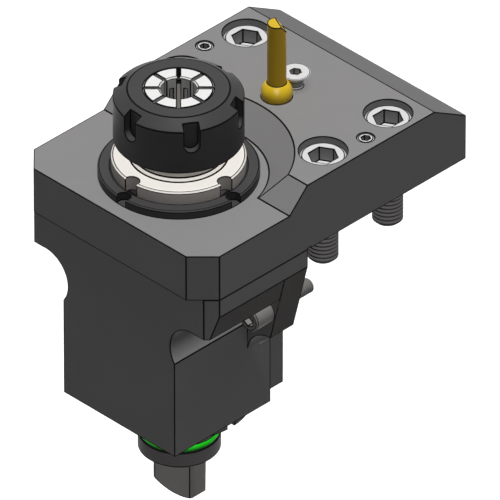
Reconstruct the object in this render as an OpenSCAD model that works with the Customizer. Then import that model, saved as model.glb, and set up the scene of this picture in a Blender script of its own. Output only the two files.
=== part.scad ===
// Axial live tool holder: a driven collet spindle in a turret-mounted housing.
// The origin is the spindle axis in the mounting plane, +Z points out of the collet,
// +X runs along the flange to the mounting screws, and the holder is symmetric about Y = 0.

/* [Flange plate] */
// Distance from the spindle axis to the short end
flange_near = 37; // [36:0.5:42]
// Distance from the spindle axis to the long end
flange_far = 104.5; // [102:0.5:115]
// Width of the plate
flange_w = 100; // [98:1:110]
// Thickness round the spindle
low_t = 20.2; // [19.5:0.1:22]
// Thickness under the screws
high_t = 29.8; // [28:0.1:34]
// Radius of the low area round the spindle
clear_r = 34.3; // [33:0.1:36]
// Where the rise to the thick part starts
rise_x = 9.4; // [4:0.2:11]
// Corner cut in plan at the short end
corner_cut = 9; // [6:0.5:12]
// Length of the slope at the long end
slope_l = 17; // [12:0.5:20]
// Thickness at the long end
slope_t = 20; // [16:0.5:24]
// Width of the relief groove in the underside, round the back of the housing
relief_w = 1.5; // [1:0.1:2]
// Depth of the relief groove
relief_h = 0.6; // [0.3:0.1:1]

/* [Housing] */
// Distance from the spindle axis to the front face
housing_near = 32.3; // [30.5:0.1:34]
// Depth of the housing below the mounting plane
housing_h = 80.9; // [78:0.1:88]
// Width of the lower block
housing_w = 60; // [59:0.5:64]
// Front wall of the lugs
lug_x = 6.8; // [4:0.2:9]
// Locating face at the back of the lugs
back_x = 19.2; // [17:0.1:21]
// Back face of the tongue
tongue_x = 31.7; // [31:0.1:36]
// Width of the tongue
tongue_w = 48.6; // [46:0.1:52]
// Height of the upright band on the sides
band_h = 8; // [4:0.5:12]
// Distance from the mounting plane to the lug tips
lug_h = 39; // [37:0.5:44]
// Width across the lug tips
lug_w = 84.6; // [82:0.2:90]
// Radius under the lugs
gusset_r = 13; // [10:0.5:13]
// Thickness of the wings over the side grooves
wing_t = 18.5; // [17:0.5:20]
// Radius of the side grooves
groove_r = 12; // [10:0.5:13]
// Distance between the axes of the two side grooves
groove_span = 79.4; // [78:0.2:84]

/* [Spindle] */
// Diameter of the neck behind the nut
neck_d = 35; // [33.5:0.1:36]
// Diameter of the spanner flange
spanner_d = 51.4; // [48:0.2:52]
// Top face of the spanner flange
spanner_top = 28.9; // [27.5:0.1:30]
// Depth of the spanner flange
spanner_t = 6.3; // [5:0.1:7]
// Radius of the spanner notches in the flange
notch_r = 3; // [2:0.25:3.5]
// Diameter of the nose thread
nose_d = 40; // [38:0.5:42]
// Pitch of the nose thread
nose_pitch = 1.5; // [1:0.25:2]
// Front face of the nose
nose_top = 50.4; // [49.8:0.1:50.6]
// Diameter of the shaft between the bearings
shaft_d = 30; // [29:0.5:31.5]
// Diameter of the shaft through the rear seal
tail_d = 23; // [22:0.1:23.4]
// Depth of the blind bore behind the collet
bore_depth = 17; // [10:1:22]
// Diameter of the blind bore behind the collet
bore_d = 20; // [17:0.5:22]

/* [Drive tang] */
// Width of the tang
tang_w = 22; // [20:0.5:22.2]
// Thickness of the tang
tang_t = 8; // [6:0.5:9]
// Lowest point of the crowned end
tang_end = 127.2; // [120:0.1:134]
// Height of the crown
tang_crown = 2.4; // [1:0.2:4]
// Rounding of the upright corners
tang_round = 1.5; // [1:0.1:2]

/* [Bearings] */
// Bore of the front bearings
front_d = 35; // [34.6:0.1:35.6]
// Outside diameter of the front bearings
front_od = 55; // [54.5:0.1:55.5]
// Width of one front bearing
front_b = 10; // [9.5:0.1:10.5]
// Ball diameter in the front bearings
front_ball = 5.5; // [5:0.1:5.8]
// Balls in one front bearing
front_count = 18; // [12:1:19]
// Depth of the front bearing seat below the mounting plane
front_seat = 6; // [5:0.5:7]
// Bore of the rear bearing
rear_d = 25; // [24.6:0.1:25.4]
// Outside diameter of the rear bearing
rear_od = 47; // [46:0.1:48]
// Width of the rear bearing
rear_b = 12; // [11.5:0.1:12.5]
// Ball diameter in the rear bearing
rear_ball = 6.4; // [5.5:0.1:6.8]
// Balls in the rear bearing
rear_count = 11; // [7:1:12]
// Depth of the rear bearing's upper face
rear_top = 62; // [58:0.1:63]

/* [Bearing cover] */
// Width of the cover's rim round the spanner flange
cover_wall = 4.95; // [4.6:0.05:6]
// Height of the cover ring above the plate
cover_t = 3.7; // [3:0.1:4.2]
// Gap between the rim and the spanner flange
cover_gap = 0.25; // [0.15:0.05:0.6]
// Diameter of the cover thread
cover_thread = 58; // [57.6:0.1:59]
// Radius of the notches in the cover
cover_notch_r = 2.7; // [1.5:0.1:3]

/* [Drive spigot] */
// Diameter of the slotted rim
rim_d = 56.5; // [54:0.5:59]
// Thickness of the slotted rim
rim_t = 3.9; // [3:0.1:5]
// Width of the slots in the rim
rim_slot = 4; // [3:0.5:5]
// Diameter of the spigot thread
spigot_thread = 52; // [50:0.5:53]
// Diameter of the spigot
spigot_d = 32; // [31.5:0.1:33]
// Distance from the mounting plane to the spigot's end
spigot_end = 107; // [105:0.5:110]
// Distance from the spigot's end to its seal groove
land_h = 7.3; // [6:0.1:8]
// Section diameter of the spigot seal
spigot_seal = 2.62; // [2.2:0.01:2.7]

/* [Collet and nut] */
// Clamping diameter of the collet
collet_bore = 14; // [8:0.5:18]
// Length of the collet
collet_l = 40; // [38:0.5:41]
// Largest diameter of the collet
collet_d = 33; // [32.6:0.1:33.4]
// Width of the collet slots
collet_slit = 1.3; // [0.8:0.1:1.6]
// Front face of the collet and the nut
face_z = 59.5; // [59:0.1:61]
// Diameter of the nut
nut_d = 50; // [48:0.5:54]
// Length of the nut
nut_l = 22.6; // [22:0.1:24]
// Opening in the nut's front face
nut_open = 27.2; // [26.8:0.1:28]
// Width of the nut's spanner slots
nut_slot_w = 6; // [4:0.25:7]
// Depth of the nut's spanner slots
nut_slot_h = 3.2; // [2:0.1:3.6]
// Length of the nut's spanner slots
nut_slot_l = 12.8; // [10:0.2:15]

/* [Mounting screws] */
// First screw row from the spindle axis
bolt_x = 39.4; // [38:0.1:42]
// Distance between the screw rows
bolt_dx = 35; // [32:0.5:36]
// Distance across the screws
bolt_dy = 76; // [72:0.5:78]
// Thread diameter
bolt_d = 12; // [10:0.5:12]
// How much wider the through holes are than the thread
bolt_play = 2.5; // [1:0.5:2.5]
// Length under the head
bolt_l = 35; // [30:1:45]
// Head diameter
bolt_head_d = 18; // [17:0.25:18.5]
// Head height
bolt_head_h = 12; // [10:0.25:12]
// Depth of the heads below the plate's top
bolt_sink = 2.2; // [0.5:0.1:3]
// Width across the flats of the key
bolt_key = 10; // [8:0.5:10]
// Position of the jacking screws along the flange
jack_x = 57; // [54:0.1:60]
// Distance from the jacking screws to the plate's long edges
jack_edge = 6.7; // [6:0.1:8]
// Diameter of the jacking screws
jack_d = 6.7; // [6:0.1:8]

/* [Side and seam screws] */
// Thread diameter of the lug and seam screws
m6_d = 6; // [5:0.5:6]
// Head diameter of the lug and seam screws
m6_head_d = 10; // [8.5:0.25:10]
// Height of the lug screw heads
lug_head_h = 9.4; // [6:0.2:10]
// Distance from the mounting plane to the lug screws
lug_screw_z = 27; // [26.5:0.1:28]
// Free length of the lug screws behind the lugs
lug_free = 11.2; // [8:0.2:14]
// Seam screw nearer the short end
seam_x = -24; // [-25:0.5:-22]
// Distance between the seam screws
seam_dx = 18; // [14:0.5:19]
// Diameter of the dowel pins
dowel_d = 6; // [4:0.5:6]
// Length of the dowel pins
dowel_l = 16; // [12:1:20]

/* [Coolant nozzle] */
// Distance from the spindle axis to the nozzle
nozzle_x = 52.6; // [51:0.1:54]
// Ball diameter
ball_d = 12.2; // [11:0.1:12.6]
// Height of the ball's centre above the plate
ball_up = 2; // [1.5:0.1:2.5]
// Tube diameter
tube_d = 7.4; // [6:0.1:7.6]
// Bore of the tube
tube_bore = 3.2; // [2:0.1:4]
// Height of the tube's end above the ball's centre
tube_l = 31.8; // [24:0.2:40]
// Diameter of the coolant duct
duct_d = 5; // [4:0.25:5.5]
// Head diameter of the clamp screw
clamp_head_d = 11.4; // [10.5:0.1:11.6]
// Height of the clamp screw's head
clamp_head_h = 3.3; // [3:0.1:3.6]
// Height of the clamp screw's top above the plate
clamp_top = 6.4; // [6:0.1:7.5]

/* [Clearances] */
// Gap between pieces that are fitted together
fit = 0.03; // [0.02:0.01:0.05]
// Gap between a turning piece and a fixed one
run = 0.1; // [0.08:0.01:0.12]
// Gap round the bearing balls
ball_gap = 0.15; // [0.1:0.01:0.2]

/* [Hidden] */
$fn = 72;
eps = 1;
rise = high_t - low_t;
wing_y = flange_w / 2;
groove_y = groove_span / 2;
groove_z = wing_t + groove_r;
gusset_z = lug_h + gusset_r;
undercut = 0.1;
taper_slope = (wing_y - lug_w / 2) / (lug_h - band_h);
housing_bottom = -housing_h;
seat_top = 2 * front_b - front_seat;
front_rows = [-front_seat, -front_seat + front_b];
rim_bottom = -housing_h - rim_t;
front_pitch_r = (front_d + front_od) / 4;
rear_pitch_r = (rear_d + rear_od) / 4;
rear_bottom = -rear_top - rear_b;
clip_t = 1.2;
clip_groove = 0.6;
clip_wall = 2.6;
spring_h = 1.6;
lock_nut_l = 7;
lock_nut_d = 45;
lock_chamber_r = lock_nut_d / 2 + 1.8;
hub_d = 41.6;
nose_thread_l = 12.6;
thread_drop = 0.25;
race_lip = 2.9;
race_land = 0.25;
cover_bore_r = front_od / 2 - race_lip;
cover_id = spanner_d + 2 * cover_gap;
cover_d = cover_id + 2 * cover_wall;
cover_notch_in = 1.6;
cover_seat = 0.2;
sink_d = bolt_head_d + 0.7;
jack_y = wing_y - jack_edge;
shaft_gap = 1.5;
recess_floor = low_t + cover_t - 2;
flange_under = spanner_top - spanner_t;
taper_half = 8;
cone_half = 30;
collet_back = face_z - collet_l;
collet_front_r = nut_open / 2 - 0.2;
cone_l = (collet_d / 2 - collet_front_r) / tan(cone_half);
collet_rim = 0.8;
collet_groove_w = 2.4;
collet_groove_r = collet_d / 2 - 1.9;
groove_top_z = face_z - 0.3 - cone_l - collet_rim;
taper_top_z = groove_top_z - collet_groove_w;
slit_l = collet_l - 5;
nut_bottom = face_z - nut_l;
nut_top_r = 19.55;
nut_cone_h = 3.1;
bolt_under = high_t - bolt_sink - bolt_head_h;
m6_head_h = 6;
m6_pocket = 6.5;
seam_l = 25;
seam_thread = 14;
seal_wall = 1.2;
seal_skin = 0.9;
cover_seal_h = 5;
lip_top = 4;
lip_bottom = 2.4;
ball_z = high_t + ball_up;
clamp_x = nozzle_x + ball_d / 2 + clamp_head_d / 2 - 1.7;
clamp_l = 15;
clamp_key = 4;
clamp_socket = 2.6;
seal_pocket_d = 35;
seal_h = 6;
seal_top = rear_bottom - clip_t - 1.2;
nozzle_ring_d = 1.8;
nozzle_ring_r = 4;
inlet_seal_r = 6;
inlet_seal_d = 2;
tip_turn = -25;
tip_slope = 55;
tip_offset = 0.7;
tang_up = 3;
tang_edge = 1.2;
nozzle_ring_z = ball_z - sqrt(pow(ball_d / 2 + run + nozzle_ring_d / 2, 2) - pow(nozzle_ring_r, 2));

// A ring about the spindle axis between two heights
module ring(d, bore, z0, z1) {
    translate([0, 0, z0])
    difference() {
        cylinder(d = d, h = z1 - z0);
        translate([0, 0, -eps]) cylinder(d = bore, h = z1 - z0 + 2 * eps);
    }
}

// A hole about the spindle axis that runs past one end or both
module bore(d, z0, z1) {
    translate([0, 0, z0]) cylinder(d = d, h = z1 - z0);
}

// Outline of a ridged thread from the top down, for a turned profile
function ridges(r, depth, pitch, z_top, z_end) =
    let (count = floor((z_top - z_end) / pitch))
    [for (i = [0:count - 1]) each [
        [r, z_top - i * pitch],
        [r, z_top - (i + 0.2) * pitch],
        [r - depth, z_top - (i + 0.5) * pitch],
        [r, z_top - (i + 0.8) * pitch]]];

// A socket head screw that points down from the underside of its head
module cap_screw(d, l, head_d, head_h, key, plain, pitch) {
    r = d / 2;
    rim = 0.04 * head_d;
    difference() {
        rotate_extrude()
        polygon(concat(
            [[0, head_h], [head_d / 2 - rim, head_h], [head_d / 2, head_h - rim], [head_d / 2, 0], [r, 0]],
            ridges(r, 0.5 * pitch, pitch, -plain, -l + 0.1 * d),
            [[r, -l + 0.1 * d], [0.8 * r, -l], [0, -l]]));
        translate([0, 0, head_h - 0.5 * d]) cylinder(d = key / cos(30), h = d, $fn = 6);
    }
}

// Side view of the flange plate, along and up
flange_side = [
    [-flange_near, 0], [flange_far, 0], [flange_far, slope_t], [flange_far - slope_l, high_t],
    [rise_x + rise, high_t], [rise_x, low_t], [-flange_near, low_t]];

// Cuts the two corners at the short end
module corner_cuts(z0, z1) {
    for (side = [-1, 1])
        translate([-flange_near + corner_cut / 2, side * (wing_y - corner_cut / 2), z0])
        rotate([0, 0, side * 135])
        translate([0, -wing_y, 0])
        cube([flange_w, flange_w, z1 - z0]);
}

module flange_holes() {
    bore(front_od + 2 * fit, -eps, seat_top + eps);
    bore(cover_thread + 2 * fit, seat_top, high_t);
    for (x = [bolt_x, bolt_x + bolt_dx], y = [-bolt_dy / 2, bolt_dy / 2]) translate([x, y, 0]) {
        bore(bolt_d + bolt_play, -eps, high_t);
        bore(sink_d, bolt_under, high_t + eps);
    }
    for (y = [-jack_y, jack_y]) translate([jack_x, y, 0])
        bore(jack_d + 2 * fit, -eps, high_t + eps);
    for (x = [seam_x, seam_x + seam_dx], y = [-groove_y, groove_y])
        translate([x, y, 0]) bore(m6_d + 2 * fit, -eps, seam_l - wing_t + m6_pocket + 1);
    dowel_holes(1);
    nozzle_pocket();
    translate([clamp_x, 0, 0]) bore(m6_d + 2 * fit, high_t - clamp_l - 1, high_t + eps);
}

// Groove round the back of the housing that sets off the face on the turret
module relief_groove() {
    w = relief_w;
    t = tongue_w / 2;
    translate([0, 0, -eps])
    linear_extrude(relief_h + eps)
    polygon([
        [back_x, -wing_y - eps], [back_x + w, -wing_y - eps], [back_x + w, -t - w],
        [tongue_x + w, -t - w], [tongue_x + w, t + w], [back_x + w, t + w],
        [back_x + w, wing_y + eps], [back_x, wing_y + eps], [back_x, t], [tongue_x, t],
        [tongue_x, -t], [back_x, -t]]);
}

module dowel_holes(side) {
    for (y = [-groove_y, groove_y]) translate([(lug_x + back_x) / 2, y, 0])
        bore(dowel_d + 2 * fit, side > 0 ? -eps : -dowel_l / 2 - 0.5, side > 0 ? dowel_l / 2 + 0.5 : eps);
}

// Spherical seat for the nozzle ball, its seal ring's step and the coolant duct
module nozzle_pocket() {
    translate([nozzle_x, 0, 0]) {
        translate([0, 0, ball_z]) sphere(d = ball_d + 2 * ball_gap);
        bore(2 * nozzle_ring_r + nozzle_ring_d + 0.4, nozzle_ring_z - nozzle_ring_d / 2 - fit, ball_z - 3);
        bore(duct_d, -eps, ball_z);
        difference() {
            bore(2 * inlet_seal_r + inlet_seal_d + 0.2, -eps, inlet_seal_d + 0.1);
            bore(2 * inlet_seal_r - inlet_seal_d - 0.2, -2 * eps, high_t);
        }
    }
}

module flange_plate() {
    color("#5f5d5e")
    difference() {
        translate([0, wing_y, 0]) rotate([90, 0, 0]) linear_extrude(flange_w) polygon(flange_side);
        corner_cuts(-eps, high_t + eps);
        translate([0, 0, low_t])
        cylinder(r1 = clear_r, r2 = clear_r + rise + eps, h = rise + eps);
        flange_holes();
        relief_groove();
    }
}

function taper_y(z) = wing_y + taper_slope * (z + band_h);

// Section of the housing through the wings, across and up
wing_section = [
    [-wing_y, 0], [-wing_y, -band_h], [-taper_y(-wing_t), -wing_t], [-groove_y, -wing_t],
    [-groove_y, -groove_z], [-housing_w / 2, -groove_z], [-housing_w / 2, -housing_h],
    [housing_w / 2, -housing_h], [housing_w / 2, -groove_z], [groove_y, -groove_z],
    [groove_y, -wing_t], [taper_y(-wing_t), -wing_t], [wing_y, -band_h], [wing_y, 0]];

// Section of the housing through the lugs, across and up
lug_section = [
    [-wing_y, 0], [-wing_y, -band_h], [-taper_y(-gusset_z), -gusset_z], [-housing_w / 2, -gusset_z],
    [-housing_w / 2, -housing_h], [housing_w / 2, -housing_h], [housing_w / 2, -gusset_z],
    [taper_y(-gusset_z), -gusset_z], [wing_y, -band_h], [wing_y, 0]];

// Extrudes a section, given across and up, between two places along the holder
module along(x0, x1, points) {
    translate([x0, 0, 0])
    rotate([90, 0, 90])
    linear_extrude(x1 - x0)
    polygon(points);
}

module housing_body() {
    lug_mid = (lug_x + back_x) / 2;
    difference() {
        along(-housing_near, lug_mid, wing_section);
        for (side = [-1, 1])
            translate([-housing_near - eps, side * groove_y, -groove_z])
            rotate([0, 90, 0])
            cylinder(r = groove_r + undercut, h = housing_near + lug_mid + 2 * eps);
    }
    difference() {
        along(lug_x, back_x, lug_section);
        for (side = [-1, 1])
            translate([lug_x - eps, side * (housing_w / 2 + gusset_r), -gusset_z])
            rotate([0, 90, 0])
            cylinder(r = gusset_r + undercut, h = back_x - lug_x + 2 * eps);
    }
    translate([0, -tongue_w / 2, -housing_h])
    cube([tongue_x, tongue_w, housing_h]);
}

module housing() {
    color("#454344")
    difference() {
        housing_body();
        corner_cuts(-housing_h, eps);
        bore(front_od + 2 * fit, -front_seat, eps);
        bore(2 * lock_chamber_r, -front_seat - lock_nut_l - 1.5, eps);
        bore(shaft_d + 2 * shaft_gap, -rear_top, 0);
        bore(rear_od + 2 * fit, rear_bottom, -rear_top + spring_h);
        bore(spigot_thread + 2 * fit, housing_bottom - eps, rear_bottom);
        for (side = [-1, 1], x = [seam_x, seam_x + seam_dx]) translate([x, side * groove_y, 0]) {
            bore(m6_d + 0.6, -wing_t, eps);
            bore(m6_head_d + 1, -groove_z, -wing_t + m6_pocket);
        }
        dowel_holes(-1);
        for (side = [-1, 1])
            translate([lug_x - eps, side * groove_y, -lug_screw_z])
            rotate([0, 90, 0])
            cylinder(d = m6_d + 2 * fit, h = back_x - lug_x + 2 * eps);
    }
}

module housing_screws() {
    color("#3a3a3c")
    for (x = [seam_x, seam_x + seam_dx], y = [-groove_y, groove_y])
        translate([x, y, -wing_t + m6_pocket])
        rotate([180, 0, 0])
        cap_screw(m6_d, seam_l, m6_head_d, m6_head_h, 5, seam_l - seam_thread, 1);
}

module dowel_pins() {
    color("#b5b5b8")
    for (y = [-groove_y, groove_y]) translate([(lug_x + back_x) / 2, y, -dowel_l / 2])
        cylinder(d = dowel_d, h = dowel_l);
}

module bearing_cover_ring() {
    r = cover_d / 2;
    top = low_t + cover_t;
    color("#242224")
    difference() {
        rotate_extrude()
        polygon([
            [cover_bore_r, seat_top], [cover_thread / 2, seat_top], [cover_thread / 2, low_t], [r, low_t],
            [r, top - 0.4], [r - 0.4, top], [cover_id / 2 + 0.3, top], [cover_id / 2, top - 0.3],
            [cover_id / 2, recess_floor], [cover_bore_r, recess_floor]]);
        for (a = [0:90:270]) rotate([0, 0, a]) translate([r - cover_notch_in, 0, low_t + cover_seat])
            cylinder(r = cover_notch_r, h = cover_t + eps);
    }
}

module front_seal() {
    outer = cover_bore_r - fit;
    inner = hub_d / 2 + run;
    z0 = seat_top + seal_wall;
    color("#1c1c1e")
    rotate_extrude()
    polygon([
        [inner + seal_wall, z0], [outer, z0], [outer, z0 + cover_seal_h],
        [outer - seal_skin, z0 + cover_seal_h], [outer - seal_skin, z0 + seal_wall],
        [inner + seal_wall, z0 + seal_wall], [inner, z0 + lip_top], [inner, z0 + lip_bottom]]);
}

// Radius of the collet's rear taper at a height
function taper_r(z) = collet_d / 2 - tan(taper_half) * (taper_top_z - z);

module spindle() {
    neck = neck_d / 2;
    hub = hub_d / 2;
    spanner = spanner_d / 2;
    seat = front_d / 2;
    shaft = shaft_d / 2;
    tail = tail_d / 2;
    nose = nose_d / 2 - run;
    thread_end = nose_top - nose_thread_l;
    nut_end = -front_seat - lock_nut_l - 1;
    color("#8b8783")
    difference() {
        rotate_extrude()
        polygon(concat(
            [[0, nose_top], [nose - 1, nose_top]],
            ridges(nose, 0.75, nose_pitch, nose_top - 1, thread_end),
            [[nose, thread_end], [neck, thread_end - 0.8], [neck, spanner_top + 1.3],
             [neck + 1.35, spanner_top], [spanner - 0.5, spanner_top], [spanner, spanner_top - 0.5],
             [spanner, flange_under + 0.3], [spanner - 0.3, flange_under], [hub, flange_under],
             [hub, seat_top], [seat, seat_top], [seat, -front_seat], [seat - thread_drop, -front_seat],
             [seat - thread_drop, nut_end], [shaft, nut_end - 0.5], [shaft, -rear_top],
             [rear_d / 2, -rear_top], [rear_d / 2, rear_bottom], [rear_d / 2 - clip_groove, rear_bottom],
             [rear_d / 2 - clip_groove, rear_bottom - clip_t - 0.1], [rear_d / 2, rear_bottom - clip_t - 0.1],
             [rear_d / 2, rear_bottom - clip_t - 0.8], [tail, rear_bottom - clip_t - 1.4],
             [tail, -spigot_end + tang_up + 0.4], [tail - 0.4, -spigot_end + tang_up],
             [0, -spigot_end + tang_up]]));
        spindle_bore();
        for (a = [0:90:270]) rotate([0, 0, a]) translate([spanner - 0.5, 0, flange_under - eps])
            cylinder(r = notch_r, h = spanner_t + 2 * eps);
    }
    color("#8b8783") tang();
}

// Collet taper and the blind bore behind it
module spindle_bore() {
    mouth = taper_r(nose_top) + run;
    back = taper_r(collet_back) + run;
    translate([0, 0, collet_back])
    cylinder(r1 = back, r2 = mouth, h = nose_top - collet_back);
    translate([0, 0, nose_top]) cylinder(r = mouth, h = eps);
    bore(bore_d, collet_back - bore_depth, collet_back);
    translate([0, 0, collet_back - bore_depth - 0.25 * bore_d])
    cylinder(d1 = 1, d2 = bore_d, h = 0.25 * bore_d);
}

// Place on a circle, turned from its lowest point towards +Y
function round_point(c, r, turn) = c + r * [sin(turn), -cos(turn)];

// Drive tang with rounded upright corners and a crowned end
module tang() {
    w = tang_w / 2;
    t = tang_t / 2;
    edge_y = w - tang_edge;
    top = -spigot_end + tang_up + eps;
    crown_r = (pow(w, 2) + pow(tang_crown, 2)) / (2 * tang_crown);
    crown_z = -tang_end + crown_r;
    swing = asin(edge_y / (crown_r - tang_edge));
    edge_z = crown_z - (crown_r - tang_edge) * cos(swing);
    intersection() {
        translate([0, 0, -tang_end - eps])
        linear_extrude(tang_end + eps + top)
        polygon([for (corner = [[1, -1], [1, 1], [-1, 1], [-1, -1]], i = [0:8])
            let (turn = 90 * i / 8)
            [corner[0] * (t - tang_round), corner[1] * (w - tang_round)]
                + tang_round * (corner[0] * corner[1] > 0
                    ? [corner[0] * cos(turn), corner[1] * sin(turn)]
                    : [corner[0] * sin(turn), corner[1] * cos(turn)])]);
        along(-tang_t, tang_t, concat(
            [[-w, top + eps]],
            [for (i = [0:8]) round_point([-edge_y, edge_z], tang_edge, i * (90 - swing) / 8 - 90)],
            [for (i = [1:23]) round_point([0, crown_z], crown_r, swing * (i / 12 - 1))],
            [for (i = [8:-1:0]) round_point([edge_y, edge_z], tang_edge, 90 - i * (90 - swing) / 8)],
            [[w, top + eps]]));
    }
}

module front_lock_nut() {
    z1 = -front_seat;
    color("#6d6b6a")
    difference() {
        rotate_extrude()
        polygon([
            [front_d / 2 - thread_drop + fit, z1], [hub_d / 2 - 0.6, z1], [hub_d / 2 - 0.6, z1 - 1.2],
            [lock_nut_d / 2, z1 - 1.6], [lock_nut_d / 2, z1 - lock_nut_l + 0.5],
            [lock_nut_d / 2 - 0.5, z1 - lock_nut_l], [front_d / 2 - thread_drop + fit, z1 - lock_nut_l]]);
        for (a = [45:90:315]) rotate([0, 0, a])
            translate([lock_nut_d / 2 - 2, -2, z1 - lock_nut_l - eps])
            cube([4, 4, lock_nut_l + 2 * eps]);
    }
}

// Both rings of a ball bearing share this raceway
module raceway(pitch_r, ball, z) {
    translate([0, 0, z])
    rotate_extrude()
    translate([pitch_r, 0]) circle(d = ball + 2 * ball_gap);
}

module outer_race(d, od, b, ball, z) {
    pitch_r = (d + od) / 4;
    difference() {
        rotate_extrude()
        polygon([
            [pitch_r + race_land * ball, z], [od / 2 - 0.6, z], [od / 2, z + 0.6],
            [od / 2, z + b - 0.6], [od / 2 - 0.6, z + b], [pitch_r + race_land * ball, z + b]]);
        raceway(pitch_r, ball, z + b / 2);
    }
}

module inner_race(d, od, b, ball, z) {
    pitch_r = (d + od) / 4;
    difference() {
        rotate_extrude()
        polygon([
            [d / 2 + fit, z + 0.5], [d / 2 + fit + 0.5, z], [pitch_r - race_land * ball, z],
            [pitch_r - race_land * ball, z + b], [d / 2 + fit + 0.5, z + b], [d / 2 + fit, z + b - 0.5]]);
        raceway(pitch_r, ball, z + b / 2);
    }
}

module balls(pitch_r, ball, count, z) {
    for (i = [0:count - 1]) rotate([0, 0, 360 * i / count])
        translate([pitch_r, 0, z])
        sphere(d = ball, $fn = 32);
}

module cage(pitch_r, ball, count, z) {
    wall = 0.3 * ball;
    h = ball + 2;
    difference() {
        ring(2 * pitch_r + wall, 2 * pitch_r - wall, z - h / 2, z + h / 2);
        for (i = [0:count - 1]) rotate([0, 0, 360 * i / count])
            translate([pitch_r - 2 * wall, 0, z])
            rotate([0, 90, 0])
            cylinder(d = ball + 2 * ball_gap, h = 4 * wall, $fn = 32);
    }
}

module front_bearing_outer_rings() {
    color("#b9babd")
    for (z = front_rows) outer_race(front_d, front_od, front_b - fit, front_ball, z);
}

module front_bearing_inner_rings() {
    color("#c2c3c6")
    for (z = front_rows) inner_race(front_d, front_od, front_b - fit, front_ball, z);
}

module front_bearing_balls() {
    color("#dcdde0")
    for (z = front_rows) balls(front_pitch_r, front_ball, front_count, z + (front_b - fit) / 2);
}

module front_bearing_cages() {
    color("#8a6a3a")
    for (z = front_rows) cage(front_pitch_r, front_ball, front_count, z + (front_b - fit) / 2);
}

module rear_bearing_outer_ring() {
    color("#b9babd")
    outer_race(rear_d, rear_od, rear_b, rear_ball, rear_bottom);
}

module rear_bearing_inner_ring() {
    color("#c2c3c6")
    inner_race(rear_d, rear_od, rear_b, rear_ball, rear_bottom);
}

module rear_bearing_balls() {
    color("#dcdde0")
    balls(rear_pitch_r, rear_ball, rear_count, rear_bottom + rear_b / 2);
}

module rear_bearing_cage() {
    color("#8a6a3a")
    cage(rear_pitch_r, rear_ball, rear_count, rear_bottom + rear_b / 2);
}

module preload_spring() {
    z0 = -rear_top;
    inner = shaft_d / 2 + shaft_gap + 0.5;
    color("#7d7f84")
    rotate_extrude()
    polygon([
        [rear_od / 2 - 0.6, z0], [rear_od / 2 - 0.6, z0 + 0.7],
        [inner, z0 + spring_h - fit], [inner, z0 + spring_h - 0.7]]);
}

module rear_retaining_ring() {
    color("#4a4a4d")
    translate([0, 0, rear_bottom - clip_t - fit])
    rotate([0, 0, 120])
    rotate_extrude(angle = 300)
    translate([rear_d / 2 - clip_groove + fit, 0]) square([clip_wall, clip_t]);
}

module drive_spigot() {
    r = spigot_d / 2;
    groove_bottom = -spigot_end + land_h;
    groove_r0 = r - spigot_seal - 0.18;
    color("#3d3b3b")
    difference() {
        rotate_extrude()
        polygon([
            [tail_d / 2 + 0.5, seal_top - seal_h - 1], [seal_pocket_d / 2 + fit, seal_top - seal_h - 1],
            [seal_pocket_d / 2 + fit, seal_top], [rear_od / 2 - 3, seal_top],
            [rear_od / 2 - 3, rear_bottom], [spigot_thread / 2, rear_bottom],
            [spigot_thread / 2, housing_bottom], [rim_d / 2, housing_bottom],
            [rim_d / 2, rim_bottom + 0.4], [rim_d / 2 - 0.4, rim_bottom], [r, rim_bottom],
            [r, groove_bottom + spigot_seal + 0.68], [groove_r0, groove_bottom + spigot_seal + 0.68],
            [groove_r0, groove_bottom], [r, groove_bottom], [r, -spigot_end + 1], [r - 1, -spigot_end],
            [tail_d / 2 + 0.5, -spigot_end]]);
        for (a = [0:90:270]) rotate([0, 0, a])
            translate([rim_d / 2 - 2.5, -rim_slot / 2, rim_bottom - eps])
            cube([rim_slot, rim_slot, rim_t + eps]);
    }
}

module rear_seal() {
    outer = seal_pocket_d / 2;
    inner = tail_d / 2 + run;
    z0 = seal_top - seal_h - 0.9;
    color("#6b2f22")
    rotate_extrude()
    polygon([
        [inner + 1.6, z0], [outer, z0], [outer, z0 + seal_h], [outer - 1.2, z0 + seal_h],
        [outer - 1.2, z0 + 1.4], [inner + 1.6, z0 + 1.4], [inner + 1, z0 + seal_h - 0.6],
        [inner, z0 + seal_h - 1.6], [inner + 0.8, z0 + 1.4]]);
}

module spigot_o_ring() {
    color("#1fae2a")
    translate([0, 0, -spigot_end + land_h + spigot_seal / 2 + fit])
    rotate_extrude()
    translate([spigot_d / 2 - spigot_seal / 2 - 0.15, 0]) circle(d = spigot_seal, $fn = 32);
}

module collet() {
    r = collet_d / 2;
    front = collet_front_r;
    color("#e6e4e0")
    difference() {
        rotate_extrude()
        polygon([
            [collet_bore / 2, face_z - 0.4], [collet_bore / 2 + 0.4, face_z], [front - 0.3, face_z],
            [front, face_z - 0.3], [r, face_z - 0.3 - cone_l], [r, groove_top_z],
            [collet_groove_r, groove_top_z], [collet_groove_r, taper_top_z], [r, taper_top_z],
            [taper_r(collet_back), collet_back], [collet_bore / 2 + 0.4, collet_back],
            [collet_bore / 2, collet_back + 0.4]]);
        for (i = [0:7]) rotate([0, 0, 45 * i]) {
            translate([0, -collet_slit / 2, face_z - slit_l]) cube([collet_d, collet_slit, collet_l]);
            rotate([0, 0, 22.5])
            translate([0, -collet_slit / 2, collet_back - 5]) cube([collet_d, collet_slit, collet_l]);
        }
    }
}

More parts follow.
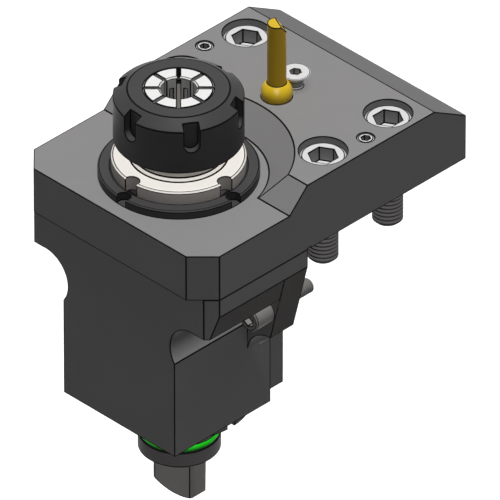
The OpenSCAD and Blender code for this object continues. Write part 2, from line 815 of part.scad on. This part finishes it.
module clamping_nut() {
    r = nut_d / 2;
    thread = nose_d / 2;
    lip_top = groove_top_z - 0.3;
    lip_bottom = taper_top_z + 0.3;
    color("#222223")
    difference() {
        rotate_extrude()
        polygon([
            [thread, nut_bottom], [r - 0.6, nut_bottom], [r, nut_bottom + 0.6],
            [r, face_z - nut_cone_h - 0.3], [r - 0.3, face_z - nut_cone_h], [nut_top_r, face_z],
            [collet_front_r + run, face_z], [collet_front_r + run, face_z - 0.3],
            [collet_d / 2 + run, face_z - 0.3 - cone_l], [collet_d / 2 + run, lip_top],
            [collet_groove_r + 0.4, lip_top], [collet_groove_r + 0.4, lip_bottom],
            [thread, lip_bottom]]);
        for (i = [0:5]) rotate([0, 0, 60 * i - 3]) {
            translate([r - nut_slot_h, -nut_slot_w / 2, face_z - nut_slot_l + nut_slot_w / 2])
            cube([r, nut_slot_w, nut_slot_l]);
            translate([r - nut_slot_h, 0, face_z - nut_slot_l + nut_slot_w / 2])
            rotate([0, 90, 0])
            cylinder(d = nut_slot_w, h = r);
        }
    }
}

module mounting_screws() {
    color("#c9c9cb")
    for (x = [bolt_x, bolt_x + bolt_dx], y = [-bolt_dy / 2, bolt_dy / 2])
        translate([x, y, bolt_under])
        cap_screw(bolt_d, bolt_l, bolt_head_d, bolt_head_h, bolt_key, bolt_under + 2, 1.75);
}

module jack_screws() {
    color("#d8d8d8")
    for (y = [-jack_y, jack_y]) translate([jack_x, y, 0])
        difference() {
            rotate_extrude()
            polygon([
                [0, 0.3], [jack_d / 2 - 1, 0.3], [jack_d / 2, 1.3], [jack_d / 2, high_t - 0.8],
                [jack_d / 2 - 0.6, high_t - 0.2], [0, high_t - 0.2]]);
            translate([0, 0, high_t - 5]) cylinder(d = jack_d / 2 / cos(30), h = 6, $fn = 6);
        }
}

module lug_screws() {
    color("#9a9a9c")
    for (y = [-groove_y, groove_y]) translate([lug_x, y, -lug_screw_z])
        rotate([0, -90, 0])
        cap_screw(m6_d, back_x - lug_x + lug_free, m6_head_d, lug_head_h, 5, back_x - lug_x + 0.4, 1);
}

module nozzle_ball() {
    color("#c8962a")
    translate([nozzle_x, 0, ball_z])
    difference() {
        sphere(d = ball_d);
        translate([0, 0, -1]) cylinder(d = tube_d + 2 * fit, h = ball_d);
        translate([0, 0, -ball_d]) cylinder(d = tube_bore, h = 2 * ball_d);
    }
}

module nozzle_tube() {
    r = tube_d / 2;
    drop = tube_d * tan(tip_slope);
    color("#8a6a1e")
    translate([nozzle_x, 0, ball_z])
    difference() {
        translate([0, 0, -1]) cylinder(d = tube_d, h = tube_l + 1);
        translate([0, 0, -1 - eps]) cylinder(d = tube_bore, h = tube_l - 3);
        rotate([0, 0, tip_turn])
        translate([tip_offset, 0, tube_l])
        rotate([0, tip_slope, 0])
        translate([-drop, -tube_d, 0]) cube([3 * drop, 2 * tube_d, drop]);
        translate([0, 0, tube_l - 4.6])
        rotate([0, tip_slope, tip_turn])
        cylinder(d = 0.7 * tube_bore, h = tube_d, $fn = 32);
    }
}

module nozzle_seal_ring() {
    color("#202022")
    translate([nozzle_x, 0, nozzle_ring_z])
    rotate_extrude()
    translate([nozzle_ring_r, 0]) circle(d = nozzle_ring_d, $fn = 32);
}

module nozzle_clamp_screw() {
    top = high_t + clamp_top;
    under = top - clamp_head_h;
    color("#d9d9d9")
    translate([clamp_x, 0, 0])
    difference() {
        rotate_extrude()
        polygon(concat(
            [[0, top], [clamp_head_d / 2 - 0.2, top], [clamp_head_d / 2, top - 0.15],
             [m6_d / 2, under], [m6_d / 2, high_t + 1]],
            ridges(m6_d / 2, 0.5, 1, high_t + 1, high_t - clamp_l + 2),
            [[m6_d / 2, high_t - clamp_l + 1], [m6_d / 2 - 0.8, high_t - clamp_l],
             [0, high_t - clamp_l]]));
        translate([0, 0, top - clamp_socket])
        cylinder(d = clamp_key / cos(30), h = clamp_socket + eps, $fn = 6);
    }
}

module coolant_inlet_o_ring() {
    color("#1c1c1e")
    translate([nozzle_x, 0, inlet_seal_d / 2 + fit])
    rotate_extrude()
    translate([inlet_seal_r, 0]) circle(d = inlet_seal_d, $fn = 32);
}

flange_plate();
housing();
housing_screws();
dowel_pins();
bearing_cover_ring();
front_seal();
spindle();
front_lock_nut();
front_bearing_outer_rings();
front_bearing_inner_rings();
front_bearing_balls();
front_bearing_cages();
rear_bearing_outer_ring();
rear_bearing_inner_ring();
rear_bearing_balls();
rear_bearing_cage();
preload_spring();
rear_retaining_ring();
drive_spigot();
rear_seal();
spigot_o_ring();
collet();
clamping_nut();
mounting_screws();
jack_screws();
lug_screws();
nozzle_ball();
nozzle_tube();
nozzle_seal_ring();
nozzle_clamp_screw();
coolant_inlet_o_ring();
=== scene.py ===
import math

import bmesh
import bpy
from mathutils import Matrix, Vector


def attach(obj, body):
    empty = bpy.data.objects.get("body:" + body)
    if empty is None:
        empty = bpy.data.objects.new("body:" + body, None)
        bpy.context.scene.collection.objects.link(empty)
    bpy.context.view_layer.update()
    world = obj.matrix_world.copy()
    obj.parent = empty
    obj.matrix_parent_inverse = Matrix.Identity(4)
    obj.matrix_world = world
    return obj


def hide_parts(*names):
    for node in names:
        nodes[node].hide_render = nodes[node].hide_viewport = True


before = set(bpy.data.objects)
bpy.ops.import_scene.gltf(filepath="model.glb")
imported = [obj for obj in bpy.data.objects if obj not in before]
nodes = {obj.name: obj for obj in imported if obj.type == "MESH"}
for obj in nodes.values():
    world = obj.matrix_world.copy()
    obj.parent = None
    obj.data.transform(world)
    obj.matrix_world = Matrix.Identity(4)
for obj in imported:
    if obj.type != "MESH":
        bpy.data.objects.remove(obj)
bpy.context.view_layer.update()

MM = 0.001

# The photograph is a parallel view from above the corner of the short end and the right side,
# with every axis at the same slant, so a very long lens stands far away
FRAME_PX = 500
PX_PER_MM = 2.62
LENS_MM = 1500
SENSOR_MM = 36
VIEW_TARGET = Vector((35.95, -2.25, -32.5)) * MM
TO_CAMERA = Vector((-1, -1, 1)).normalized()


def look_at(thing, target):
    """Points a lamp's or camera's own -Z at a place."""
    thing.rotation_euler = (thing.location - target).to_track_quat("Z", "Y").to_euler()


def make_camera():
    data = bpy.data.cameras.new("photo_camera")
    data.sensor_width = SENSOR_MM
    data.lens = LENS_MM
    data.clip_end = 100
    camera = bpy.data.objects.new("photo_camera", data)
    bpy.context.scene.collection.objects.link(camera)
    frame_width = FRAME_PX / PX_PER_MM * MM
    camera.location = VIEW_TARGET + TO_CAMERA * frame_width * LENS_MM / SENSOR_MM
    look_at(camera, VIEW_TARGET)
    bpy.context.scene.camera = camera


make_camera()


def to_linear(code):
    """An sRGB hex colour as linear red, green, blue and alpha."""
    channels = [int(code[i:i + 2], 16) / 255 for i in (1, 3, 5)]
    return [c / 12.92 if c <= 0.04045 else ((c + 0.055) / 1.055) ** 2.4 for c in channels] + [1]


def add(tree, kind, settings=None, inputs=None):
    """Adds a node, sets its properties, and sets or links its sockets."""
    made = tree.nodes.new(kind)
    for key, value in (settings or {}).items():
        setattr(made, key, value)
    for key, value in (inputs or {}).items():
        if isinstance(value, bpy.types.NodeSocket):
            tree.links.new(value, made.inputs[key])
        else:
            made.inputs[key].default_value = value
    return made


def new_tree(owner):
    owner.use_nodes = True
    owner.node_tree.nodes.clear()
    return owner.node_tree


# Strength and depth of the marks' relief, stretch of grinding marks, and size of the broad mottling
RELIEF = 0.3
RELIEF_MM = 0.004
GROUND_STRETCH = (0.06, 1, 1)
MOTTLING_MM = 14
# How marks and mottling share the blend of the two colours, and how far it leans to the second
MARKS_SHARE = 0.4
MOTTLING_SHARE = 0.6
TINT_LEAN = 0.1
# What the first colour takes off the roughness, and the second adds to it
SMOOTHER, ROUGHER = 0.06, 0.08


def finish(name, colour, tint, roughness, specular, marks, mark_mm):
    """A machined or moulded surface. Its marks run along the plate if "ground", round the spindle's
    axis if "turned", and every way if "tumbled", which also serves what was turned on another axis.
    They are drawn a few tenths of a millimetre wide, coarser than real ones, because those are too
    fine to show; tint is the colour between them. The photograph shades every metal flat, without
    reflections, so none is metallic here."""
    material = bpy.data.materials.new(name)
    tree = new_tree(material)
    here = add(tree, "ShaderNodeTexCoord").outputs["Object"]
    place = here
    if marks == "turned":
        split = add(tree, "ShaderNodeSeparateXYZ", inputs={0: here})
        flat = add(tree, "ShaderNodeCombineXYZ", inputs={0: split.outputs[0], 1: split.outputs[1]})
        radius = add(tree, "ShaderNodeVectorMath", {"operation": "LENGTH"}, {0: flat.outputs[0]})
        place = add(tree, "ShaderNodeCombineXYZ",
                    inputs={0: radius.outputs["Value"], 1: split.outputs[2]}).outputs[0]
    stretch = GROUND_STRETCH if marks == "ground" else (1, 1, 1)
    place = add(tree, "ShaderNodeMapping", inputs={0: place, "Scale": stretch}).outputs[0]
    fine = add(tree, "ShaderNodeTexNoise", inputs={
        "Vector": place, "Scale": 1 / (mark_mm * MM), "Detail": 3, "Roughness": 0.6})
    broad = add(tree, "ShaderNodeTexNoise", inputs={
        "Vector": here, "Scale": 1 / (MOTTLING_MM * MM), "Detail": 4})
    mottling = add(tree, "ShaderNodeMath", {"operation": "MULTIPLY_ADD"},
                   {0: broad.outputs["Fac"], 1: MOTTLING_SHARE, 2: TINT_LEAN})
    mix = add(tree, "ShaderNodeMath", {"operation": "MULTIPLY_ADD"},
              {0: fine.outputs["Fac"], 1: MARKS_SHARE, 2: mottling.outputs[0]})
    hue = add(tree, "ShaderNodeMix", {"data_type": "RGBA"},
              {0: mix.outputs[0], 6: to_linear(colour), 7: to_linear(tint)})
    rough = add(tree, "ShaderNodeMapRange",
                inputs={0: mix.outputs[0], 3: roughness - SMOOTHER, 4: roughness + ROUGHER})
    bump = add(tree, "ShaderNodeBump", inputs={
        "Strength": RELIEF, "Distance": RELIEF_MM * MM, "Height": fine.outputs["Fac"]})
    shader = add(tree, "ShaderNodeBsdfPrincipled", inputs={
        "Base Color": hue.outputs[2], "Roughness": rough.outputs[0], "Metallic": 0,
        "Specular IOR Level": specular, "Normal": bump.outputs[0]})
    add(tree, "ShaderNodeOutputMaterial", inputs={0: shader.outputs[0]})
    return material


# Hardened steel, ground flat and blackened: an even dark grey with faint grinding lines
blackened_steel = finish("blackened_ground_steel", "#828181", "#7C7B7B", 0.5, 0.04, "ground", 0.5)
# The same steel on the tapered flanks, which were left as milled and are duller; painted darker as shade
flank_painted_shade = finish("blackened_steel_flank_painted_shade", "#63605F", "#5E5B5A", 0.55, 0.03, "ground", 0.5)
# The plate's slanted end, planed and blackened, and painted darker than the ground top as shade
slope_painted_shade = finish("blackened_steel_slope_painted_shade", "#6A6969", "#656464", 0.6, 0.04, "ground", 0.6)
# The same steel turned: dark grey with fine rings round the axis
blackened_turned_steel = finish("blackened_turned_steel", "#827F80", "#7A7778", 0.5, 0.04, "turned", 0.4)
# Dark line painted along every sharp edge like a drawn edge, which in creases stands in for shade; also the
# painted shadow on the drive spigot's ledge
lines_and_painted_shadow = finish("painted_edge_lines_and_shadow", "#121212", "#161616", 0.7, 0.02, "tumbled", 0.5)
# Turned steel with black oxide: nearly black, with a weak sheen
black_oxide_steel = finish("black_oxide_turned_steel", "#424142", "#3C3B3C", 0.45, 0.06, "turned", 0.4)
# Hardened steel, ground after turning: a creamy bright grey
bright_steel = finish("ground_spindle_steel", "#EAE6E0", "#E4E0DA", 0.45, 0.1, "turned", 0.4)
# The same steel on the upright turned walls: duller than the faces, and painted darker as shade
spindle_wall_painted_shade = finish("spindle_steel_wall_painted_shade", "#CBC6C1", "#C3BEB9", 0.5, 0.1, "turned", 0.4)
# The tang's wide faces, ground: mid grey, painted lighter than the ends to even out the light that falls on
# them
tang_flats_painted_light = finish("tang_flats_painted_light", "#ACA9A7", "#A6A3A1", 0.5, 0.1, "tumbled", 0.5)
# The tang's rounded corners, ends and crown, milled: painted a shade darker, which evens out the light that
# falls on them
tang_ends_painted_shade = finish("tang_ends_painted_shade", "#9D9A98", "#979492", 0.5, 0.1, "tumbled", 0.5)
# Lapped steel: the collet's white-bright face
lapped_steel = finish("lapped_collet_steel", "#DADAD9", "#D4D4D3", 0.42, 0.1, "tumbled", 0.5)
# Zinc-plated steel: pale grey screw heads
zinc_steel = finish("zinc_plated_steel", "#CACACA", "#C6C6C6", 0.45, 0.1, "tumbled", 0.5)
# The same plating on upright walls and in sockets, and on the clamp screw's shank: dull, and painted mid
# grey as shade
zinc_wall_painted_shade = finish("zinc_plated_steel_painted_shade", "#8E8E8E", "#868686", 0.5, 0.1, "tumbled", 0.5)
# The plated screws' thread: the same plating painted dark grey as shade
thread_painted_shade = finish("screw_thread_painted_shade", "#5A5858", "#4C4A4A", 0.6, 0.1, "tumbled", 0.4)
# The lug screws' plating, painted grey as shade, and matt; their socket floors keep its pale colour
lug_screw_painted_shade = finish("lug_screw_painted_shade", "#8C8A88", "#7E7C7B", 0.5, 0.2, "tumbled", 0.4)
# Brass, turned and left bare: a golden yellow with a soft highlight
brass = finish("turned_brass", "#DEBB1E", "#D6B219", 0.35, 0.3, "tumbled", 0.4)
# Brass as drawn: the tube's upright wall, painted browner than the turned ball as shade
tube_wall_painted_shade = finish("drawn_brass_tube_wall_painted_shade", "#CFA91E", "#C7A11A", 0.4, 0.2, "tumbled", 0.4)
# Brass as sawn: the tube's matt tip, which faces up and is painted a little darker where the light falls
# strongest
tube_tip_painted_shade = finish("tube_tip_painted_shade", "#CBAA2C", "#C3A327", 0.5, 0.1, "tumbled", 0.4)
# Nitrile rubber: the vivid green of coolant-proof O-rings
green_rubber = finish("green_nitrile_rubber", "#08D60C", "#06CB0A", 0.45, 0.2, "tumbled", 0.5)
# Nitrile rubber: black seals
black_rubber = finish("black_nitrile_rubber", "#242424", "#1E1E1E", 0.6, 0.2, "tumbled", 0.5)
# Fluoro rubber: the brown lip of the spindle's rear seal
brown_rubber = finish("brown_fluoro_rubber", "#6B2F22", "#5E281D", 0.6, 0.2, "tumbled", 0.5)

# Corners of a CAD node's loose triangles that lie closer than this are one, in metres
MERGE = 2e-6
# Edges with a greater angle get a line. The housing's flanks meet the upright band at a flatter one.
SHARP = math.radians(24)
FLANK_SHARP = math.radians(11)
# Width of the dark line on each side of an edge, narrower on the small screws
LINE_MM = 0.38
FINE_LINE_MM = 0.24
# A face needs this many such widths to show a line
NARROW = 3
# Triangles smaller than this have no direction to go by, in square metres
SLIVER = 5e-9
# Material slots of a dressed piece: its own finish, its lines, and then its rules' finishes
MAIN, LINES, FIRST_RULE = 0, 1, 2


def is_sharp(edge, angle, seams):
    return len(edge.link_faces) != 2 or edge.calc_face_angle() > angle or bool(seams and seams(edge))


def patches(shape, angle, seams):
    """Groups of faces that run into one another without a sharp edge. A sliver, which has no true
    direction, belongs to the first group that meets it and leads no further."""
    slivers = {face for face in shape.faces if face.calc_area() < SLIVER}
    left = [face for face in shape.faces if face not in slivers]
    grouped = set()
    for start in left:
        if start in grouped:
            continue
        grouped.add(start)
        group, waiting = [], [start]
        while waiting:
            face = waiting.pop()
            group.append(face)
            if face in slivers:
                continue
            for edge in face.edges:
                for other in edge.link_faces:
                    if other not in grouped and (other in slivers or not is_sharp(edge, angle, seams)):
                        grouped.add(other)
                        waiting.append(other)
        yield group


def dressed_copy(node, body, material, rules=(), line=LINE_MM, slight=MAIN, angle=SHARP, seams=None,
                 clean=None):
    """A merged copy of a CAD node with a narrow dark line painted along both sides of every sharp
    edge. Rules pair a test for a group of faces with the finish that such groups get; groups too
    narrow for a line get the slot slight. Seams tells which edges have a line although their faces
    meet smoothly, and clean tells places that have none."""
    shape = bmesh.new()
    shape.from_mesh(nodes[node].data)
    bmesh.ops.remove_doubles(shape, verts=shape.verts, dist=MERGE)
    for face in shape.faces:
        face.smooth = True
    for group in list(patches(shape, angle, seams)):
        inside = set(group)
        rim = sum(e.calc_length() for f in group for e in f.edges if not inside.issuperset(e.link_faces))
        if rim == 0:
            continue
        width = 2 * sum(f.calc_area() for f in group) / rim
        chosen = next((FIRST_RULE + i for i, (test, _) in enumerate(rules) if test(group)), MAIN)
        narrow = width < NARROW * line * MM
        for face in group:
            face.material_index = slight if narrow and chosen == MAIN else chosen
        if not narrow:
            made = bmesh.ops.inset_region(shape, faces=group, use_boundary=True, use_even_offset=True,
                                          use_interpolate=False, use_relative_offset=False,
                                          thickness=line * MM, depth=0)
            strip = set(made["faces"])
            for face in strip:
                face.material_index = LINES
            # Where two edges meet at a very sharp corner, the line's inner point stays near them
            for edge in (e for f in made["faces"] for e in f.edges if strip.issuperset(e.link_faces)):
                inner, outer = sorted(edge.verts, key=lambda v: inside.isdisjoint(v.link_faces))
                reach = inner.co - outer.co
                if reach.length > 2 * line * MM:
                    inner.co = outer.co + reach.normalized() * line * MM
    for face in shape.faces:
        if clean and clean(face.calc_center_median() / MM):
            face.material_index = MAIN
    for edge in shape.edges:
        edge.smooth = not is_sharp(edge, angle, None)
    mesh = bpy.data.meshes.new(node + "_dressed")
    shape.to_mesh(mesh)
    shape.free()
    for slot in (material, lines_and_painted_shadow, *(finish_of for _, finish_of in rules)):
        mesh.materials.append(slot)
    piece = bpy.data.objects.new(node + "_dressed", mesh)
    bpy.context.scene.collection.objects.link(piece)
    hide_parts(node)
    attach(piece, body)


# Levels on the holder, in millimetres from the mounting face
THREAD_TOP = 15.6
CLAMP_HEAD_UNDERSIDE = 33
SPIGOT_LEDGE = -99.7
TANG_TOP = -103.9
TANG_MIDDLE = -120


def upright(group):
    return all(abs(face.normal.z) < 0.2 for face in group)


def below(level):
    return lambda group: all(v.co.z < level * MM for face in group for v in face.verts)


def rear_slope(group):
    """The plate's slanted end behind the screws, which gets painted shade."""
    return all(face.normal.x > 0.3 and face.normal.z > 0.3 for face in group)


def tube_tip(group):
    """The slanted tip, the one face of the tube that looks up."""
    return all(face.normal.z > 0.3 for face in group)


def overhanging(group):
    """The flanks that taper in under the wings and lugs, facing down, which get painted shade."""
    return all(face.normal.z < -0.1 and abs(face.normal.y) > 0.9 for face in group)


def in_gusset_run_out(place):
    """Where the round under a lug runs out in the block's side, a tenth of a millimetre deep."""
    return 11 < place.x < 15 and 29.5 < abs(place.y) < 30.1 and -54.5 < place.z < -50.2


def tang_corner(edge):
    """Where a flat of the drive tang starts to round."""
    if len(edge.link_faces) != 2 or any(v.co.z > TANG_TOP * MM for v in edge.verts):
        return False
    one, other = (max(abs(face.normal.x), abs(face.normal.y)) > 0.999 for face in edge.link_faces)
    return one != other


def tang(group):
    return any(v.co.z < TANG_MIDDLE * MM for face in group for v in face.verts)


def tang_flat(group):
    """The two wide faces that the drive grips, which are painted lighter than the tang's ends."""
    return tang(group) and all(abs(face.normal.x) > 0.99 for face in group)


def painted_shadow_ledge(group):
    """The ledge under the green O-ring, which gets a painted shadow in the dark line colour."""
    return all(abs(v.co.z / MM - SPIGOT_LEDGE) < 0.05 for face in group for v in face.verts)


def lug_socket_floor(group):
    """The floor of the lug screws' hex sockets, which keeps the plating's pale colour where the rest of the
    screw has painted shade.
    """
    return all(face.normal.x < -0.9 and face.calc_center_median().x > -2 * MM for face in group)


def give(material, *names):
    """The CAD's own meshes of pieces that are hidden or have no edges, with a finish."""
    for name in names:
        mesh = nodes[name].data
        mesh.materials.clear()
        mesh.materials.append(material)


give(black_oxide_steel, "housing_screws", "rear_retaining_ring", "preload_spring")
give(bright_steel, "dowel_pins", "front_lock_nut", "front_bearing_outer_rings", "front_bearing_inner_rings",
     "front_bearing_balls", "rear_bearing_outer_ring", "rear_bearing_inner_ring", "rear_bearing_balls")
give(brass, "front_bearing_cages", "rear_bearing_cage")
give(black_rubber, "front_seal", "nozzle_seal_ring", "coolant_inlet_o_ring")
give(brown_rubber, "rear_seal")
give(green_rubber, "spigot_o_ring")

# The plate's slanted end gets painted shade
dressed_copy("flange_plate", "holder", blackened_steel, [(rear_slope, slope_painted_shade)])
# The housing's downward-facing flanks get painted shade
dressed_copy("housing", "holder", blackened_steel, [(overhanging, flank_painted_shade)], angle=FLANK_SHARP,
             clean=in_gusset_run_out)
dressed_copy("bearing_cover_ring", "holder", black_oxide_steel)
# Painted shade on the spindle's upright walls; the tang's flats are painted lighter than its ends
dressed_copy("spindle", "spindle", bright_steel,
             [(tang_flat, tang_flats_painted_light), (tang, tang_ends_painted_shade), (upright, spindle_wall_painted_shade)],
             seams=tang_corner)
# The ledge under the O-ring gets painted shadow, and the narrow faces are filled with the line colour
dressed_copy("drive_spigot", "holder", blackened_turned_steel, [(painted_shadow_ledge, lines_and_painted_shadow)],
             slight=LINES)
dressed_copy("collet", "collet", lapped_steel)
dressed_copy("clamping_nut", "clamping_nut", black_oxide_steel)
# Painted shade on the screws' threads, upright walls, sockets and the clamp screw's shank
dressed_copy("mounting_screws", "holder", zinc_steel,
             [(below(THREAD_TOP), thread_painted_shade), (upright, zinc_wall_painted_shade)])
dressed_copy("jack_screws", "holder", zinc_steel, [(upright, zinc_wall_painted_shade)], line=FINE_LINE_MM)
dressed_copy("nozzle_clamp_screw", "holder", zinc_steel,
             [(below(CLAMP_HEAD_UNDERSIDE), zinc_wall_painted_shade), (upright, zinc_wall_painted_shade)], line=FINE_LINE_MM)
# The lug screws are painted grey as shade, except their socket floors
dressed_copy("lug_screws", "holder", lug_screw_painted_shade, [(lug_socket_floor, zinc_steel)])
dressed_copy("nozzle_ball", "nozzle_ball", brass)
# The tube's upright wall and up-facing tip get painted shade
dressed_copy("nozzle_tube", "nozzle_tube", brass, [(upright, tube_wall_painted_shade), (tube_tip, tube_tip_painted_shade)])


# The floor's half width and level in metres, and the light that it seems to give by itself
FLOOR_REACH = 3
FLOOR_LEVEL = -0.36
FLOOR_GLOW = 0.2
# Share of white that the world throws on the object, and width of the lamps' light
WORLD_FILL = 0.09
LAMP_SPREAD = math.radians(20)


def make_stage():
    """Pale floor well below the object. The camera and reflections see it white, with the object's
    shadow on it; the light that it throws back on the object is kept low."""
    floor_mesh = bpy.data.meshes.new("floor")
    shape = bmesh.new()
    bmesh.ops.create_grid(shape, x_segments=1, y_segments=1, size=FLOOR_REACH)
    bmesh.ops.translate(shape, verts=shape.verts, vec=(0, 0, FLOOR_LEVEL))
    shape.to_mesh(floor_mesh)
    shape.free()
    material = bpy.data.materials.new("pale_floor")
    tree = new_tree(material)
    path = add(tree, "ShaderNodeLightPath")
    seen = add(tree, "ShaderNodeMath", {"operation": "MAXIMUM"},
               {0: path.outputs["Is Camera Ray"], 1: path.outputs["Is Glossy Ray"]})
    plain = add(tree, "ShaderNodeBsdfDiffuse", inputs={"Color": to_linear("#5E5E5E")})
    pale = add(tree, "ShaderNodeBsdfDiffuse", inputs={"Color": to_linear("#F2F2F2")})
    glow = add(tree, "ShaderNodeEmission", inputs={"Color": (1, 1, 1, 1), "Strength": FLOOR_GLOW})
    white = add(tree, "ShaderNodeAddShader", inputs={0: pale.outputs[0], 1: glow.outputs[0]})
    mix = add(tree, "ShaderNodeMixShader",
              inputs={0: seen.outputs[0], 1: plain.outputs[0], 2: white.outputs[0]})
    add(tree, "ShaderNodeOutputMaterial", inputs={0: mix.outputs[0]})
    floor_mesh.materials.append(material)
    floor = bpy.data.objects.new("floor", floor_mesh)
    bpy.context.scene.collection.objects.link(floor)


def make_world():
    """White where it is seen, and a weak even light on the object from all round."""
    world = bpy.data.worlds.new("studio")
    bpy.context.scene.world = world
    tree = new_tree(world)
    path = add(tree, "ShaderNodeLightPath")
    glossy = add(tree, "ShaderNodeMath", {"operation": "MAXIMUM"},
                 {0: path.outputs["Is Camera Ray"], 1: path.outputs["Is Glossy Ray"]})
    seen = add(tree, "ShaderNodeMath", {"operation": "MAXIMUM"},
               {0: glossy.outputs[0], 1: path.outputs["Is Transmission Ray"]})
    strength = add(tree, "ShaderNodeMapRange", inputs={0: seen.outputs[0], 3: WORLD_FILL, 4: 1})
    back = add(tree, "ShaderNodeBackground",
               inputs={"Color": (1, 1, 1, 1), "Strength": strength.outputs[0]})
    add(tree, "ShaderNodeOutputWorld", inputs={0: back.outputs[0]})


def lamp(name, direction, level, shadow=False, sheen=False):
    """A soft parallel lamp; level is the share of plain white that it gives a facing surface.
    A sheen lamp shows in gloss only."""
    data = bpy.data.lights.new(name, "SUN")
    data.angle = LAMP_SPREAD
    data.use_shadow = shadow
    data.energy = level * math.pi
    thing = bpy.data.objects.new(name, data)
    thing.location = VIEW_TARGET + Vector(direction).normalized()
    look_at(thing, VIEW_TARGET)
    thing.visible_diffuse = not sheen
    bpy.context.scene.collection.objects.link(thing)


make_stage()
make_world()
lamp("overhead_fill", (-0.01, -0.08, 1), 0.98)
lamp("overhead_key", (-0.02, -0.06, 1), 0.2, shadow=True)
lamp("far_sheen", (1, 1, 1), 0.03, sheen=True)
lamp("near_sheen", TO_CAMERA, 0.8, sheen=True)

bpy.context.scene.view_settings.view_transform = "Standard"
